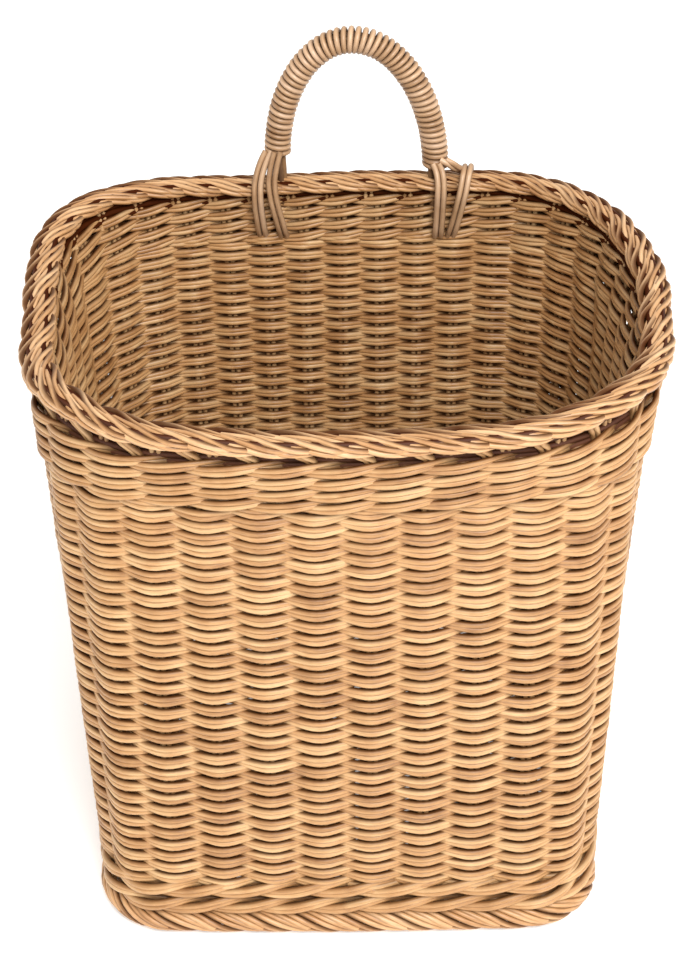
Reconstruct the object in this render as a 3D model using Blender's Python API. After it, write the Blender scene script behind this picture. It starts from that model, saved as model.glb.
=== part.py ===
"""Wall basket of woven cane: a rounded box with a flared collar, a rope-like rim and a bow handle."""

import math

import bmesh
import bpy
import numpy as np
from mathutils import Vector

MM = 0.001

# Counts
STAKES = 39
ROPE_STEPS_PER_STAKE = 3
WALL_STEPS_PER_STAKE = 4
WALE_STEPS_PER_STAKE = 2
WRAP_LOOPS = 22
WRAP_POINTS_PER_LOOP = 18
OUTLINE_RUN_POINTS = 25
BOW_BENDS = 18
BOW_FINE_STEPS = 400

# Heights above the surface the basket stands on
RIM_TOP = 272 * MM
RIM_TALL = 7 * MM
RIM_TO_COLLAR = 3.3 * MM
COLLAR_TALL = 22.2 * MM
FOOT_BORDER_TOP = 13 * MM
FOOT_WALE_TALL = 19 * MM
COLLAR_TOP = RIM_TOP - RIM_TALL - RIM_TO_COLLAR
BODY_TOP = COLLAR_TOP - COLLAR_TALL
BODY_BOTTOM = FOOT_BORDER_TOP + FOOT_WALE_TALL

# Outline of the rim, seen from above, to the outside of its border
RIM_WIDTH = 280 * MM
RIM_DEPTH = 237 * MM
RIM_FRONT_BULGE = 13.5 * MM
RIM_FRONT_RADIUS = 75 * MM
RIM_BACK_RADIUS = 76 * MM
RIM_THICK = 15 * MM

# Outline at the top of the body, to the middle of the wall
TOP_SIDE_INSET = 16.5 * MM
TOP_BACK_INSET = 9 * MM
TOP_FRONT_INSET = 9.5 * MM
TOP_FRONT_BULGE = 21 * MM
TOP_FRONT_RADIUS = 33 * MM
TOP_BACK_RADIUS = 63 * MM

# Outline at the foot of the body, to the middle of the wall
FOOT_SIDE_INSET = 28.5 * MM
FOOT_BACK_INSET = 9 * MM
FOOT_FRONT_INSET = 9.5 * MM
FOOT_FRONT_BULGE = 2.5 * MM
FOOT_FRONT_RADIUS = 29 * MM
FOOT_BACK_RADIUS = 52 * MM

# How much narrower than the back the front is, on each side
SIDE_TAPER = 1.8 * MM

# Walls and strands
STAKE_RADIUS = 1.4 * MM
CHANNEL_RADIUS = 2.0 * MM
WALL_RIB_HALF = 3.4 * MM
WALL_VALLEY_HALF = 2.3 * MM
COLLAR_OUTER_HALF = 5.6 * MM
COLLAR_INNER_HALF = 3.4 * MM
COLLAR_ROW_GROOVE = 1.1 * MM
FOOT_WALE_OUTER_HALF = 5.0 * MM
FOOT_WALE_INNER_HALF = 3.2 * MM
FOOT_WALE_GROOVE = 1.2 * MM
ROPE_LOBE = 0.6 * MM
FOOT_BORDER_HALF_ACROSS = 5.4 * MM
FOOT_BORDER_HALF_TALL = 8 * MM
GAP = 0.3 * MM

# Base
BASE_THICK = 4.6 * MM
BASE_EDGE_CHAMFER = 1.0 * MM

# Handle
HANDLE_OFFSET = 8.5 * MM
HANDLE_HALF_SPAN = 37.2 * MM
HANDLE_SPRING_RISE = 7 * MM
HANDLE_RISE = 60.6 * MM
HANDLE_CORE_RADIUS = 3.7 * MM
HANDLE_TENON_RADIUS = 1.8 * MM
HANDLE_TENON_CLEARANCE = 0.5 * MM
HANDLE_TENON_DEPTH = 30 * MM
HANDLE_CUT_OVERRUN = 6 * MM
WRAP_STRAND_RADIUS = 1.2 * MM
WRAP_STAND_OFF = 0.45 * MM
WRAP_END_ABOVE_RIM = 5 * MM
TAIL_RADIUS = 1.1 * MM
TAIL_STAND_OFF = 0.6 * MM
TAIL_END_DROP = 34 * MM

# Counts of rows that show as bulges
COLLAR_ROWS = 4
FOOT_WALE_ROWS = 2

# Where the first stake stands, in stake spacings from the front's middle
FIRST_STAKE_SHARE = 0.5
# How much closer the stakes stand along the back
BACK_SPACING_SHARE = 0.8
# Where the flare of the collar grows, as a power of the height
FLARE_POWER = 1.4
# Where a handle leg goes down between two stakes, in stake spacings from the nearer one
TENON_BETWEEN_SHARE = 0.5

CANE = (0.60, 0.37, 0.18, 1.0)
CANE_PALE = (0.71, 0.48, 0.27, 1.0)
CANE_DARK = (0.42, 0.24, 0.11, 1.0)


def clear_scene():
    for old in list(bpy.data.objects):
        bpy.data.objects.remove(old, do_unlink=True)


def make_collection(name):
    group = bpy.data.collections.new(name)
    bpy.context.scene.collection.children.link(group)
    return group


def make_material(name, colour, roughness):
    material = bpy.data.materials.new(name)
    material.use_nodes = True
    shader = material.node_tree.nodes["Principled BSDF"]
    shader.inputs["Base Color"].default_value = colour
    shader.inputs["Roughness"].default_value = roughness
    shader.inputs["Metallic"].default_value = 0.0
    material.diffuse_color = colour
    return material


# Outlines seen from above

def outline_sizes(height):
    """Width, back, front, bulge and corner radii of the wall's middle line at a height."""
    rim_middle = RIM_THICK / 2 + ROPE_LOBE
    rim = np.array((
        RIM_WIDTH / 2 - rim_middle,
        RIM_DEPTH / 2 - rim_middle,
        RIM_DEPTH / 2 - rim_middle,
        RIM_FRONT_BULGE,
        RIM_FRONT_RADIUS - rim_middle,
        RIM_BACK_RADIUS - rim_middle,
    ))
    top = np.array((
        RIM_WIDTH / 2 - TOP_SIDE_INSET,
        RIM_DEPTH / 2 - TOP_BACK_INSET,
        RIM_DEPTH / 2 - TOP_FRONT_INSET,
        TOP_FRONT_BULGE,
        TOP_FRONT_RADIUS,
        TOP_BACK_RADIUS,
    ))
    foot = np.array((
        RIM_WIDTH / 2 - FOOT_SIDE_INSET,
        RIM_DEPTH / 2 - FOOT_BACK_INSET,
        RIM_DEPTH / 2 - FOOT_FRONT_INSET,
        FOOT_FRONT_BULGE,
        FOOT_FRONT_RADIUS,
        FOOT_BACK_RADIUS,
    ))
    if height <= BODY_TOP:
        share = max(0.0, (height - BODY_BOTTOM) / (BODY_TOP - BODY_BOTTOM))
        return foot + (top - foot) * share
    rim_middle_height = RIM_TOP - RIM_TALL / 2
    share = min(1.0, (height - BODY_TOP) / (rim_middle_height - BODY_TOP))
    return top + (rim - top) * share ** FLARE_POWER


def dense_outline(height):
    """Closed outline at a height, from the front's middle round by the right side."""
    half, back, front, bulge, front_radius, back_radius = outline_sizes(height)
    count = OUTLINE_RUN_POINTS
    corner = np.linspace(0.0, math.pi / 2, count)
    straight_front = -(front - bulge)
    runs = (
        np.column_stack((np.linspace(0.0, half - front_radius, count),
                         np.full(count, straight_front))),
        np.column_stack((half - front_radius + front_radius * np.sin(corner),
                         straight_front + front_radius * (1 - np.cos(corner)))),
        np.column_stack((np.full(count, half),
                         np.linspace(straight_front + front_radius, back - back_radius, count))),
        np.column_stack((half - back_radius + back_radius * np.cos(corner),
                         back - back_radius + back_radius * np.sin(corner))),
        np.column_stack((np.linspace(half - back_radius, 0.0, count), np.full(count, back))),
    )
    right = np.vstack([run[:-1] for run in runs] + [runs[-1][-1:]])
    forward = np.clip((back - right[:, 1]) / (back - straight_front), 0.0, 1.0)
    right[:, 1] -= bulge * (1 - (right[:, 0] / half) ** 2) * forward ** 3
    right[:, 0] *= 1 - SIDE_TAPER / half * forward
    left = right[-2:0:-1] * np.array((-1.0, 1.0))
    return np.vstack((right, left))


def outline_reader(height):
    """Gives a function from a place round the wall, in turns, to its point and outward normal."""
    points = dense_outline(height)
    ahead = np.roll(points, -1, axis=0) - points
    steps = np.hypot(ahead[:, 0], ahead[:, 1])
    outward = np.column_stack((ahead[:, 1], -ahead[:, 0])) / steps[:, None]
    back_share = np.clip(outward[:, 1], 0.0, 1.0)
    spacing = 1 - (1 - BACK_SPACING_SHARE) * back_share
    places = np.concatenate(((0.0,), np.cumsum(steps / spacing)))
    places /= places[-1]
    loop = np.vstack((points, points[:1]))
    behind = np.roll(outward, 1, axis=0)
    normals = behind + outward
    normals = np.vstack((normals, normals[:1]))

    def read(turn):
        turn = turn % 1.0
        x = np.interp(turn, places, loop[:, 0])
        y = np.interp(turn, places, loop[:, 1])
        normal = Vector((np.interp(turn, places, normals[:, 0]),
                         np.interp(turn, places, normals[:, 1]), 0.0)).normalized()
        return Vector((x, y, height)), normal

    return read


def stake_turn(index):
    return (index + FIRST_STAKE_SHARE) / STAKES


def rib_share(turn):
    """One on a stake, zero midway between two stakes."""
    return 0.5 + 0.5 * math.cos(2 * math.pi * (turn * STAKES - FIRST_STAKE_SHARE))


# Making objects

def add_ring_body(name, columns, group, material):
    """One closed ring from its cross-sections, each a list of the same number of points."""
    body = bmesh.new()
    rows = [[body.verts.new(point) for point in column] for column in columns]
    count = len(columns[0])
    for index, row in enumerate(rows):
        after = rows[(index + 1) % len(rows)]
        for step in range(count):
            beyond = (step + 1) % count
            body.faces.new((row[step], after[step], after[beyond], row[beyond]))
    bmesh.ops.triangulate(body, faces=body.faces[:])
    bmesh.ops.recalc_face_normals(body, faces=body.faces[:])
    mesh = bpy.data.meshes.new(name)
    body.to_mesh(mesh)
    body.free()
    return add_object(name, mesh, group, material)


def add_object(name, mesh, group, material):
    made = bpy.data.objects.new(name, mesh)
    made.data.materials.append(material)
    group.objects.link(made)
    return made


def add_tubes(name, routes, radius, group, material, resolution=1, radii=None):
    """Round rods along open routes, as one mesh with closed ends."""
    curve = bpy.data.curves.new(name, "CURVE")
    curve.dimensions = "3D"
    curve.bevel_depth = radius
    curve.bevel_resolution = resolution
    curve.use_fill_caps = True
    for route in routes:
        spline = curve.splines.new("POLY")
        spline.points.add(len(route) - 1)
        for index, point in enumerate(route):
            spline.points[index].co = (*point, 1.0)
            if radii:
                spline.points[index].radius = radii[index] / radius
    holder = bpy.data.objects.new(name + "_route", curve)
    group.objects.link(holder)
    graph = bpy.context.evaluated_depsgraph_get()
    mesh = bpy.data.meshes.new_from_object(holder.evaluated_get(graph))
    bpy.data.objects.remove(holder, do_unlink=True)
    bpy.data.curves.remove(curve)
    mesh.name = name
    body = bmesh.new()
    body.from_mesh(mesh)
    bmesh.ops.remove_doubles(body, verts=body.verts[:], dist=radius / 1000)
    bmesh.ops.recalc_face_normals(body, faces=body.faces[:])
    body.to_mesh(mesh)
    body.free()
    mesh.materials.clear()
    mesh.shade_smooth()
    return add_object(name, mesh, group, material)


def cut_away(body, cutter, name):
    cut = body.modifiers.new(name, "BOOLEAN")
    cut.operation = "DIFFERENCE"
    cut.solver = "EXACT"
    cut.object = cutter


# The wall and its rings

def wall_columns(outer_heights, inner_heights, steps_per_stake, outer_offset, inner_offset):
    """Cross-sections round a wall: up its outer side, then down its inner side."""
    outer_readers = [outline_reader(height) for height in outer_heights]
    inner_readers = [outline_reader(height) for height in inner_heights]
    columns = []
    for index in range(STAKES * steps_per_stake):
        turn = stake_turn(index / steps_per_stake)
        column = []
        for reader, height in zip(outer_readers, outer_heights):
            point, normal = reader(turn)
            column.append(point + normal * outer_offset(turn, height))
        for reader, height in reversed(list(zip(inner_readers, inner_heights))):
            point, normal = reader(turn)
            column.append(point - normal * inner_offset(turn, height))
        columns.append(column)
    return columns


def make_body(group, material):
    def rib(turn, _height):
        return WALL_VALLEY_HALF + (WALL_RIB_HALF - WALL_VALLEY_HALF) * rib_share(turn)

    heights = (BODY_BOTTOM, BODY_TOP)
    columns = wall_columns(heights, heights, WALL_STEPS_PER_STAKE, rib, rib)
    return add_ring_body("body_weave", columns, group, material)


def wale_heights(bottom, top, rows):
    """The grooves between rows and the crests of the rows, from the bottom up."""
    return [bottom + (top - bottom) * step / (2 * rows) for step in range(2 * rows + 1)]


def row_crest_share(height, bottom, top, rows):
    """One on the crest of a row, zero in the groove between two rows."""
    return 0.5 - 0.5 * math.cos(2 * math.pi * rows * (height - bottom) / (top - bottom))


def make_collar(group, material):
    bottom = BODY_TOP + GAP

    def outer(_turn, height):
        crest = row_crest_share(height, bottom, COLLAR_TOP, COLLAR_ROWS)
        return COLLAR_OUTER_HALF - COLLAR_ROW_GROOVE * (1 - crest)

    def inner(_turn, _height):
        return COLLAR_INNER_HALF

    heights = wale_heights(bottom, COLLAR_TOP, COLLAR_ROWS)
    columns = wall_columns(heights, heights[::COLLAR_ROWS], WALE_STEPS_PER_STAKE, outer, inner)
    return add_ring_body("collar_wale", columns, group, material)


def make_foot_wale(group, material):
    bottom = FOOT_BORDER_TOP + GAP
    top = BODY_BOTTOM - GAP

    def outer(_turn, height):
        crest = row_crest_share(height, bottom, top, FOOT_WALE_ROWS)
        return FOOT_WALE_OUTER_HALF - FOOT_WALE_GROOVE * (1 - crest)

    def inner(_turn, _height):
        return FOOT_WALE_INNER_HALF

    heights = wale_heights(bottom, top, FOOT_WALE_ROWS)
    columns = wall_columns(heights, (bottom, top), WALE_STEPS_PER_STAKE, outer, inner)
    return add_ring_body("foot_wale", columns, group, material)


def rope_columns(height, half_across, half_tall, sides, first_turn, lean):
    """Cross-sections of a ring of fat strands that lie aslant, one to each stake spacing."""
    reader = outline_reader(height)
    count = STAKES * ROPE_STEPS_PER_STAKE
    columns = []
    for index in range(count):
        point, normal = reader(first_turn + index / count)
        lay = math.pi + 2 * math.pi * lean * index / ROPE_STEPS_PER_STAKE
        column = []
        for side in range(sides):
            angle = 2 * math.pi * side / sides
            lobe = ROPE_LOBE * math.cos(2 * angle - lay)
            across = (half_across + lobe) * math.cos(angle)
            tall = (half_tall + lobe) * math.sin(angle)
            spot = point + normal * across + Vector((0.0, 0.0, tall))
            spot.z = max(0.0, spot.z)
            column.append(spot)
        columns.append(column)
    return columns


def make_rim(group, material):
    columns = rope_columns(RIM_TOP - RIM_TALL / 2, RIM_THICK / 2,
                           RIM_TALL / 2 - ROPE_LOBE, 8, stake_turn(0), -1)
    return add_ring_body("rim_border", columns, group, material)


def make_foot_border(group, material):
    middle = FOOT_BORDER_TOP - (FOOT_BORDER_HALF_TALL + ROPE_LOBE) * math.sin(math.pi / 3)
    columns = rope_columns(middle, FOOT_BORDER_HALF_ACROSS, FOOT_BORDER_HALF_TALL, 6,
                           stake_turn(0), 1)
    return add_ring_body("foot_border", columns, group, material)


# The base

def make_base(group, material):
    """A thick panel that lies on the foot border inside the foot wale."""
    bottom = FOOT_BORDER_TOP + GAP
    reader = outline_reader(bottom)
    edge_inset = FOOT_WALE_INNER_HALF + GAP
    count = STAKES * WALE_STEPS_PER_STAKE
    crown_bottom = bottom + BASE_THICK
    body = bmesh.new()
    levels = ((bottom, edge_inset), (crown_bottom - BASE_EDGE_CHAMFER, edge_inset),
              (crown_bottom, edge_inset + BASE_EDGE_CHAMFER))
    rings = []
    for height, inset in levels:
        ring = []
        for index in range(count):
            point, normal = reader(stake_turn(index / WALE_STEPS_PER_STAKE))
            spot = point - normal * inset
            ring.append(body.verts.new((spot.x, spot.y, height)))
        rings.append(ring)
    for low, high in zip(rings, rings[1:]):
        for index in range(count):
            after = (index + 1) % count
            body.faces.new((low[index], low[after], high[after], high[index]))
    body.faces.new(rings[0][::-1])
    body.faces.new(rings[-1])
    bmesh.ops.recalc_face_normals(body, faces=body.faces[:])
    mesh = bpy.data.meshes.new("base_panel")
    body.to_mesh(mesh)
    body.free()
    return add_object("base_panel", mesh, group, material)


# The stakes

def stake_route(turn):
    """From the foot wale up the middle of the wall to the underside of the rim."""
    heights = (FOOT_BORDER_TOP + 2 * GAP, BODY_BOTTOM, BODY_TOP, COLLAR_TOP,
               RIM_TOP - RIM_TALL - GAP)
    return [outline_reader(height)(turn)[0] for height in heights]


def lengthen(route, overrun):
    """The same route run straight on past both of its ends."""
    first = route[0] + (route[0] - route[1]).normalized() * overrun
    last = route[-1] + (route[-1] - route[-2]).normalized() * overrun
    return [first] + route + [last]


def make_stakes(group, cutters, material, walls):
    channels = []
    for index in range(STAKES):
        route = stake_route(stake_turn(index))
        add_tubes("stake_%02d" % (index + 1), [route], STAKE_RADIUS, group, material)
        channels.append(lengthen(route[:4], CHANNEL_RADIUS))
    cutter = add_tubes("stake_channels", channels, CHANNEL_RADIUS, cutters, material)
    cutter.hide_render = True
    cutter.display_type = "WIRE"
    for wall in walls:
        cut_away(wall, cutter, "channels")


# The handle

def handle_plane():
    return RIM_DEPTH / 2 - RIM_THICK / 2 - ROPE_LOBE


def handle_place(angle):
    """Middle line of the bow: an upright half ellipse over the back of the rim."""
    return Vector((HANDLE_OFFSET - HANDLE_HALF_SPAN * math.cos(angle), handle_plane(),
                   RIM_TOP + HANDLE_SPRING_RISE + HANDLE_RISE * math.sin(angle)))


def leg_routes():
    """Top of each leg's tenon and its foot, which end in the collar between two stakes."""
    foot = outline_reader(RIM_TOP - HANDLE_TENON_DEPTH)
    routes = []
    for side in (-1, 1):
        turns = [stake_turn(index) + TENON_BETWEEN_SHARE / STAKES for index in range(STAKES)]
        wanted = HANDLE_OFFSET + side * HANDLE_HALF_SPAN
        behind = [turn for turn in turns if foot(turn)[0].y > 0]
        turn = min(behind, key=lambda place: abs(foot(place)[0].x - wanted))
        shoulder = Vector((wanted, handle_plane(), RIM_TOP + GAP))
        routes.append((shoulder, foot(turn)[0]))
    return routes


def make_handle_core(group, cutters, material, rings):
    bow = [handle_place(math.pi * step / BOW_BENDS) for step in range(BOW_BENDS + 1)]
    left, right = leg_routes()
    leg_top = Vector((0.0, 0.0, HANDLE_SPRING_RISE / 2))
    route = [left[1], left[0], left[0] + leg_top] + bow
    route += [right[0] + leg_top, right[0], right[1]]
    slim = HANDLE_TENON_RADIUS
    full = HANDLE_CORE_RADIUS
    radii = [slim, slim] + [full] * (len(route) - 4) + [slim, slim]
    add_tubes("handle_core", [route], full, group, material, 2, radii)
    socket = HANDLE_TENON_RADIUS + HANDLE_TENON_CLEARANCE
    holes = [lengthen([shoulder, foot], HANDLE_CUT_OVERRUN) for shoulder, foot in (left, right)]
    cutter = add_tubes("leg_sockets", holes, socket, cutters, material, 2)
    cutter.hide_render = True
    cutter.display_type = "WIRE"
    for ring in rings:
        cut_away(ring, cutter, "leg_sockets")


def wrap_route():
    """A helix round the bow's middle line, evenly spaced along it."""
    dense = [handle_place(math.pi * step / BOW_FINE_STEPS) for step in range(BOW_FINE_STEPS + 1)]
    leg = HANDLE_SPRING_RISE - WRAP_END_ABOVE_RIM
    line = [dense[0] - Vector((0.0, 0.0, leg))] + dense + [dense[-1] - Vector((0.0, 0.0, leg))]
    lengths = [0.0]
    for before, after in zip(line, line[1:]):
        lengths.append(lengths[-1] + (after - before).length)
    table = np.array(line)
    count = WRAP_LOOPS * WRAP_POINTS_PER_LOOP
    coil = HANDLE_CORE_RADIUS + WRAP_STAND_OFF + WRAP_STRAND_RADIUS
    margin = WRAP_STRAND_RADIUS
    route = []
    for step in range(count + 1):
        place = margin + (lengths[-1] - 2 * margin) * step / count
        middle = Vector([np.interp(place, lengths, table[:, axis]) for axis in range(3)])
        before = Vector([np.interp(place - margin, lengths, table[:, axis]) for axis in range(3)])
        after = Vector([np.interp(place + margin, lengths, table[:, axis]) for axis in range(3)])
        along = (after - before).normalized()
        sideways = along.cross(Vector((0.0, 1.0, 0.0))).normalized()
        angle = 2 * math.pi * step / WRAP_POINTS_PER_LOOP
        route.append(middle + coil * (sideways * math.cos(angle)
                                      + Vector((0.0, 1.0, 0.0)) * math.sin(angle)))
    return route


def least_gap(route, points_per_loop, radius):
    """The least clear gap between points of the tube that lie half a loop or more apart."""
    points = np.array(route)
    least = math.inf
    for index in range(len(points)):
        later = points[index + points_per_loop // 2:]
        if len(later):
            least = min(least, np.min(np.linalg.norm(later - points[index], axis=1)))
    return least - 2 * radius


def make_wrap(group, material):
    route = wrap_route()
    add_tubes("handle_wrap", [route], WRAP_STRAND_RADIUS, group, material)
    gap = least_gap(route, WRAP_POINTS_PER_LOOP, WRAP_STRAND_RADIUS)
    print("handle_wrap: least gap to itself %.2f mm" % (gap / MM))


def back_inner_y(x, height, inner_half):
    """How far back a strand lies that touches the wall's inner side at a place along the back."""
    points = dense_outline(height)
    behind = points[points[:, 1] > 0]
    behind = behind[np.argsort(behind[:, 0])]
    near = np.interp((x - inner_half, x, x + inner_half), behind[:, 0], behind[:, 1])
    slope = (near[2] - near[0]) / (2 * inner_half)
    return near[1] - (inner_half + TAIL_STAND_OFF + TAIL_RADIUS) * math.hypot(1.0, slope)


def tail_route(leg_x, start_shift, end_shift):
    """A strand that leaves the wrap, passes over the rim's inner side and enters the weave."""
    start_y = handle_plane() - HANDLE_CORE_RADIUS - WRAP_STAND_OFF - TAIL_RADIUS
    top = RIM_TOP + TAIL_RADIUS + TAIL_STAND_OFF
    inner_rim = back_inner_y(leg_x + end_shift, RIM_TOP - RIM_TALL / 2, RIM_THICK / 2 + ROPE_LOBE)
    collar_inner = back_inner_y(leg_x + end_shift, BODY_TOP, COLLAR_INNER_HALF)
    end = RIM_TOP - TAIL_END_DROP
    place_shares = (
        (0.0, start_y, top + TAIL_RADIUS),
        (0.4, inner_rim + TAIL_RADIUS, top - TAIL_RADIUS),
        (0.7, inner_rim, RIM_TOP - RIM_TALL / 2),
        (0.85, inner_rim, RIM_TOP - RIM_TALL),
        (0.95, min(inner_rim, collar_inner), COLLAR_TOP),
        (1.0, collar_inner, end + TAIL_RADIUS),
        (1.0, collar_inner + TAIL_RADIUS / 2, end),
    )
    route = []
    for share, y, z in place_shares:
        route.append(Vector((leg_x + start_shift + (end_shift - start_shift) * share, y, z)))
    return route


def make_tails(group, material):
    pitch = 2 * TAIL_RADIUS + GAP
    left = HANDLE_OFFSET - HANDLE_HALF_SPAN
    right = HANDLE_OFFSET + HANDLE_HALF_SPAN
    spread_shares = (
        ("left", left, -2.5, -3.2),
        ("left", left, -1.5, -2.2),
        ("left", left, -0.5, 0.8),
        ("left", left, 0.5, 1.8),
        ("right", right, -1.0, -1.6),
        ("right", right, 0.0, -0.6),
        ("right", right, 3.8, 2.4),
        ("right", right, 4.8, 3.4),
    )
    for index, (side, leg, start_share, end_share) in enumerate(spread_shares):
        route = tail_route(leg, start_share * pitch, end_share * pitch)
        name = "lashing_%s_%d" % (side, index % 4 + 1)
        add_tubes(name, [route], TAIL_RADIUS, group, material)


def main():
    clear_scene()
    group = make_collection("wall_basket")
    cutters = make_collection("wall_basket_cutters")
    cane = make_material("cane", CANE, 0.55)
    stake_cane = make_material("stake_cane", CANE_PALE, 0.6)
    rim_cane = make_material("rim_cane", CANE_PALE, 0.5)
    base_cane = make_material("base_cane", CANE_DARK, 0.65)
    core_cane = make_material("core_cane", CANE_DARK, 0.65)
    wrap_cane = make_material("wrap_cane", CANE, 0.5)
    body = make_body(group, cane)
    collar = make_collar(group, cane)
    foot_wale = make_foot_wale(group, cane)
    rim = make_rim(group, rim_cane)
    make_foot_border(group, rim_cane)
    make_base(group, base_cane)
    make_stakes(group, cutters, stake_cane, (body, collar, foot_wale))
    make_handle_core(group, cutters, core_cane, (rim, collar))
    make_wrap(group, wrap_cane)
    make_tails(group, wrap_cane)


main()
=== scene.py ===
import math

import bpy
import numpy as np
from mathutils import Matrix, Vector


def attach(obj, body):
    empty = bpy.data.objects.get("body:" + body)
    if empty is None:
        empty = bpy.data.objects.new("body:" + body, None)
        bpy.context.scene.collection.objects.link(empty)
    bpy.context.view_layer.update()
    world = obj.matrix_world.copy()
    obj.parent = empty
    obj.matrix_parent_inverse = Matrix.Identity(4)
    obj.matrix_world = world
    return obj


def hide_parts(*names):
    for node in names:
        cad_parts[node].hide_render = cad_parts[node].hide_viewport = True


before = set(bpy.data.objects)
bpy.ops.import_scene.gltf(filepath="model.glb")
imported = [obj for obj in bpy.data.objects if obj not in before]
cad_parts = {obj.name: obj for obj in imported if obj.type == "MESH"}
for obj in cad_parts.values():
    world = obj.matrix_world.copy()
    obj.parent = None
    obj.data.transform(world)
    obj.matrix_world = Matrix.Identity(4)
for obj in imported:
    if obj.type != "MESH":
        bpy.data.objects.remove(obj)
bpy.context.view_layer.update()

mm = 0.001
wholeTurn = 2 * math.pi
print("frame loaded:", len(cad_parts), "nodes")

# The wall's shape in millimetres. Each outline, at rim, top and foot, holds its half width, its
# back, its front, how far the front bulges, and the radius of its front and of its back corners
basket = {
    "stakes": 39,
    "firstStake": 0.5,          # in stake spacings from the middle of the front
    "backSpacing": 0.8,         # stakes stand closer along the back
    "rimTop": 272.0, "rimTall": 7.0, "rimThick": 15.0, "ropeLobe": 0.6,
    "collarTop": 261.7, "bodyTop": 239.5, "bodyBottom": 32.0,
    "sideTaper": 1.8, "flarePower": 1.4, "bulgePower": 3,
    "rim": (140.0, 118.5, 118.5, 13.5, 75.0, 76.0),
    "top": (123.5, 109.5, 109.0, 21.0, 33.0, 63.0),
    "foot": (111.5, 109.5, 109.0, 2.5, 29.0, 52.0),
}
stakes = basket["stakes"]
rimMiddleHeight = basket["rimTop"] - basket["rimTall"] / 2

# The wall is worked out once: points for each run of an outline, steps round, and heights in mm
table = {"runPoints": 25, "turns": 936, "step": 2.0, "top": 290.0}


def outlineSizes(height):
    middle = basket["rimThick"] / 2 + basket["ropeLobe"]
    rim = np.array(basket["rim"]) - np.array((middle, middle, middle, 0.0, middle, middle))
    top, foot = np.array(basket["top"]), np.array(basket["foot"])
    if height <= basket["bodyTop"]:
        share = (height - basket["bodyBottom"]) / (basket["bodyTop"] - basket["bodyBottom"])
        return foot + (top - foot) * max(0.0, share)
    share = (height - basket["bodyTop"]) / (rimMiddleHeight - basket["bodyTop"])
    return top + (rim - top) * min(1.0, share) ** basket["flarePower"]


def wallOutline(height):
    # the right side from front to back in five runs, and the left side as its mirror image
    half, back, front, bulge, frontRadius, backRadius = outlineSizes(height)
    count = table["runPoints"]
    corner = np.linspace(0.0, math.pi / 2, count)
    straight = -(front - bulge)
    runs = (
        np.column_stack((np.linspace(0.0, half - frontRadius, count), np.full(count, straight))),
        np.column_stack((half - frontRadius + frontRadius * np.sin(corner),
                         straight + frontRadius * (1 - np.cos(corner)))),
        np.column_stack((np.full(count, half),
                         np.linspace(straight + frontRadius, back - backRadius, count))),
        np.column_stack((half - backRadius + backRadius * np.cos(corner),
                         back - backRadius + backRadius * np.sin(corner))),
        np.column_stack((np.linspace(half - backRadius, 0.0, count), np.full(count, back))),
    )
    right = np.vstack([run[:-1] for run in runs] + [runs[-1][-1:]])
    forward = np.clip((back - right[:, 1]) / (back - straight), 0.0, 1.0)
    right[:, 1] -= bulge * (1 - (right[:, 0] / half) ** 2) * forward ** basket["bulgePower"]
    right[:, 0] *= 1 - basket["sideTaper"] / half * forward
    return np.vstack((right, right[-2:0:-1] * np.array((-1.0, 1.0))))


def makeWallTable():
    # x, y and outward normal at each height and each small step round
    rows = []
    turns = np.arange(table["turns"]) / table["turns"]
    for height in np.arange(0.0, table["top"], table["step"]):
        points = wallOutline(height)
        ahead = np.roll(points, -1, axis=0) - points
        steps = np.hypot(ahead[:, 0], ahead[:, 1])
        outward = np.column_stack((ahead[:, 1], -ahead[:, 0])) / steps[:, None]
        spacing = 1 - (1 - basket["backSpacing"]) * np.clip(outward[:, 1], 0.0, 1.0)
        places = np.concatenate(((0.0,), np.cumsum(steps / spacing)))
        loop = np.column_stack((points, np.roll(outward, 1, axis=0) + outward))
        loop = np.vstack((loop, loop[:1]))
        rows.append(np.column_stack([np.interp(turns, places / places[-1], loop[:, k])
                                     for k in range(4)]))
    return np.array(rows)


wallTable = makeWallTable()

# A hand-made basket is not quite even. Each spot has its x, y and reach and the most it moves,
# in mm: places move in or out, lifts up or down, each growing from one height to the next
uneven = {
    "places": ((-139.0, -33.0, 34.0, -4.4), (-133.0, -84.0, 15.0, 4.5), (112.0, 88.0, 28.0, -3.0),
               (128.0, 60.0, 22.0, -3.0), (139.0, 10.0, 30.0, 3.6), (132.0, -82.0, 28.0, 3.0),
               (-120.0, 90.0, 24.0, 3.0), (-70.0, 118.0, 40.0, -3.0)),
    "from": 150.0,
    "rimLifts": ((-128.0, -86.0, 36.0, 5.0), (-76.0, -112.0, 36.0, 2.6), (128.0, -86.0, 36.0, 4.0),
                 (76.0, -112.0, 36.0, 1.8), (0.0, -119.0, 40.0, 0.8), (-38.0, 112.0, 42.0, -1.4),
                 (60.0, 112.0, 50.0, -1.0), (0.0, 125.0, 110.0, -1.2)),
    "rimFrom": 260.0, "rimFull": 266.0,
    "collarLifts": ((0.0, 125.0, 110.0, 1.2),),
    "collarFrom": 236.0, "collarFull": 256.0,
}


def unevenBy(points, spots, share):
    total = np.zeros(len(points))
    for x, y, reach, most in spots:
        away = np.hypot(points[:, 0] - x, points[:, 1] - y) / reach
        total += most * np.exp(-away ** 2)
    return total * np.clip(share, 0.0, 1.0) ** 2


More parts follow.
